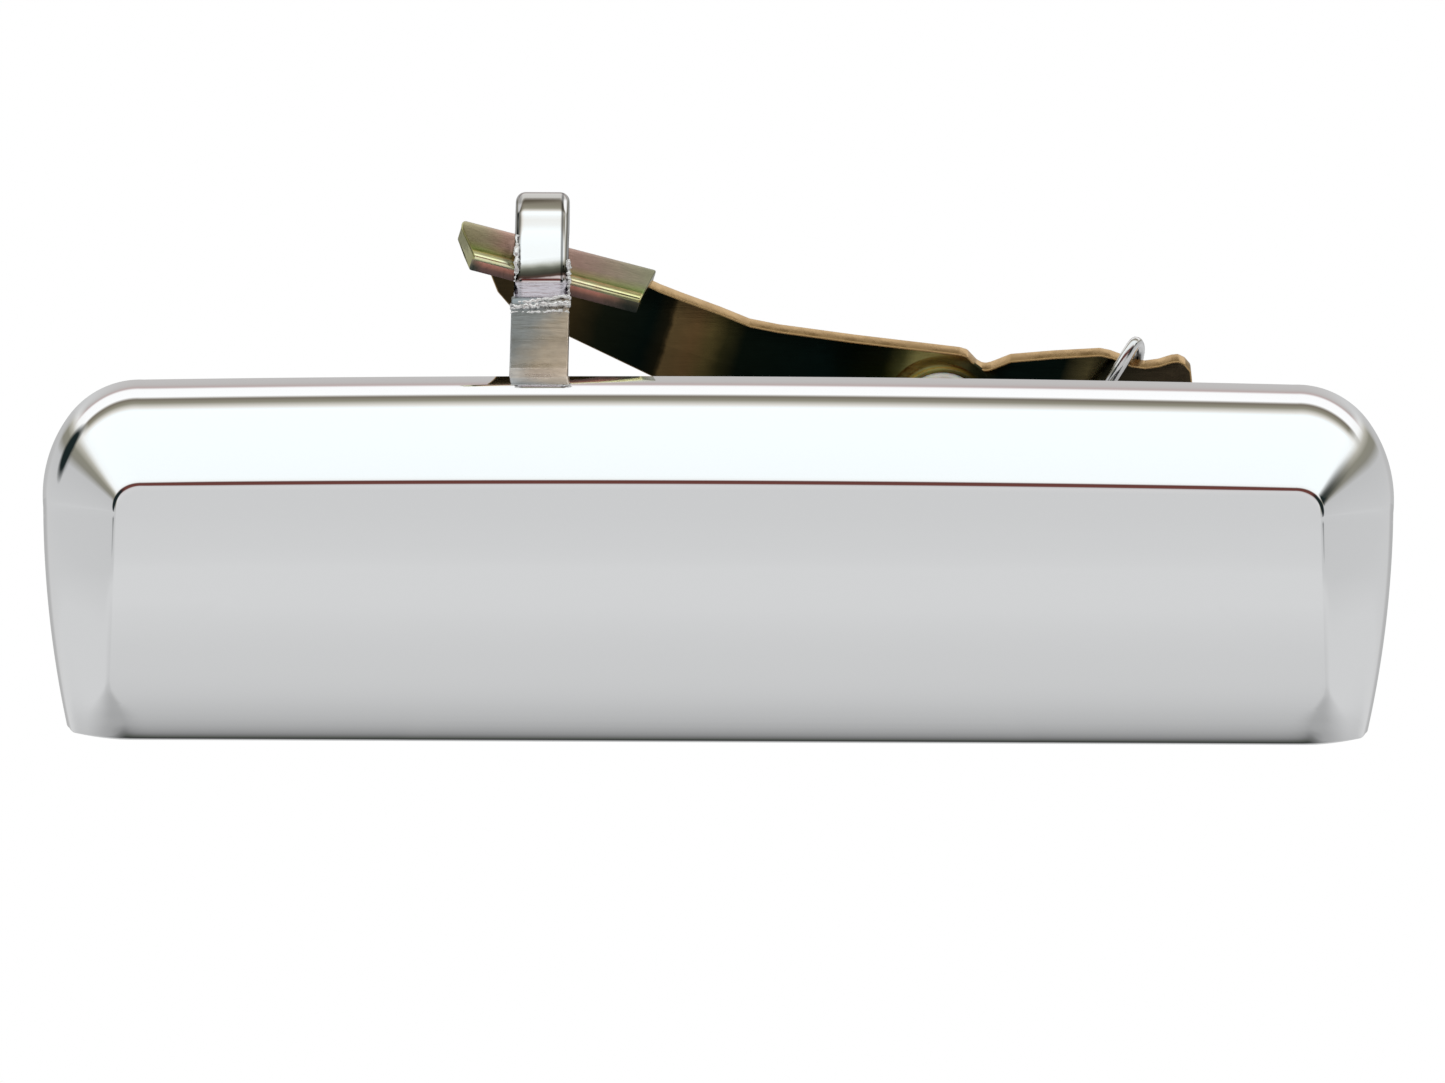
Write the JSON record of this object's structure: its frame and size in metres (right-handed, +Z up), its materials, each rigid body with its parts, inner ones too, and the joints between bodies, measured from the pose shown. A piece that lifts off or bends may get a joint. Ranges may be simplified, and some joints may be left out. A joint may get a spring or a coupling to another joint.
{
  "type": "vehicle outside door handle",
  "caption": "Lift-type vehicle door handle: a cast pull flap turns on a long pin and its finger presses a sheet-metal bell-crank lever, with both springs.",
  "frame": {"origin": "midway between the two mounting studs, on the plane of the door skin", "axes": "+X along the handle to the right as seen from outside, +Y into the door along the studs, +Z up"},
  "size_m": [0.1552, 0.0634, 0.0636],
  "materials": {
    "chrome": "polished plating",
    "cast_zinc": "raw die casting",
    "yellow_zinc": "yellow passivated zinc",
    "zinc_steel": "bright zinc",
    "steel_pin": "ground",
    "dark_steel": "oiled black",
    "spring_steel": "drawn wire",
    "nylon": "natural",
    "rubber": "matte"
  },
  "bodies": {
    "base": {"base_yoke": "cast_zinc", "hinge_pin": "steel_pin", "pin_clip_left": "dark_steel", "pin_clip_right": "dark_steel", "mounting_stud_left": "zinc_steel", "mounting_stud_right": "zinc_steel", "gasket_left": "rubber", "gasket_right": "rubber", "bump_stop_left": "rubber", "bump_stop_right": "rubber", "lever_bracket": "yellow_zinc", "bracket_screw_left": "zinc_steel", "bracket_screw_right": "zinc_steel", "lock_washer_left": "zinc_steel", "lock_washer_right": "zinc_steel", "pivot_rivet": "zinc_steel", "pivot_washer": "zinc_steel", "flap_spring": "spring_steel", "lever_spring": "spring_steel"},
    "flap": {"handle_flap": "chrome", "flap_bush_left": "nylon", "flap_bush_right": "nylon"},
    "lever": {"lever_plate": "yellow_zinc", "lever_bush": "nylon"}
  },
  "joints": [
    {"name": "flap_lift", "type": "hinge", "parent": "base", "child": "flap", "pos_m": [0, -0.0055, 0.014], "axis": [-1, 0, 0], "range_deg": [0, 22], "stiffness_Nm_per_rad": 0.12, "springref_deg": -34.38, "deforming": ["flap_spring"]},
    {"name": "lever_turn", "type": "hinge", "parent": "base", "child": "lever", "pos_m": [0.0263, 0.034, 0.018], "axis": [0, -0.866, -0.5], "range_deg": [0, 15], "stiffness_Nm_per_rad": 0.05, "springref_deg": -28.65, "deforming": ["lever_spring"]}
  ],
  "couplings": [
    {"joint": "lever_turn", "follows": "flap_lift", "ratio": 0.68}
  ]
}
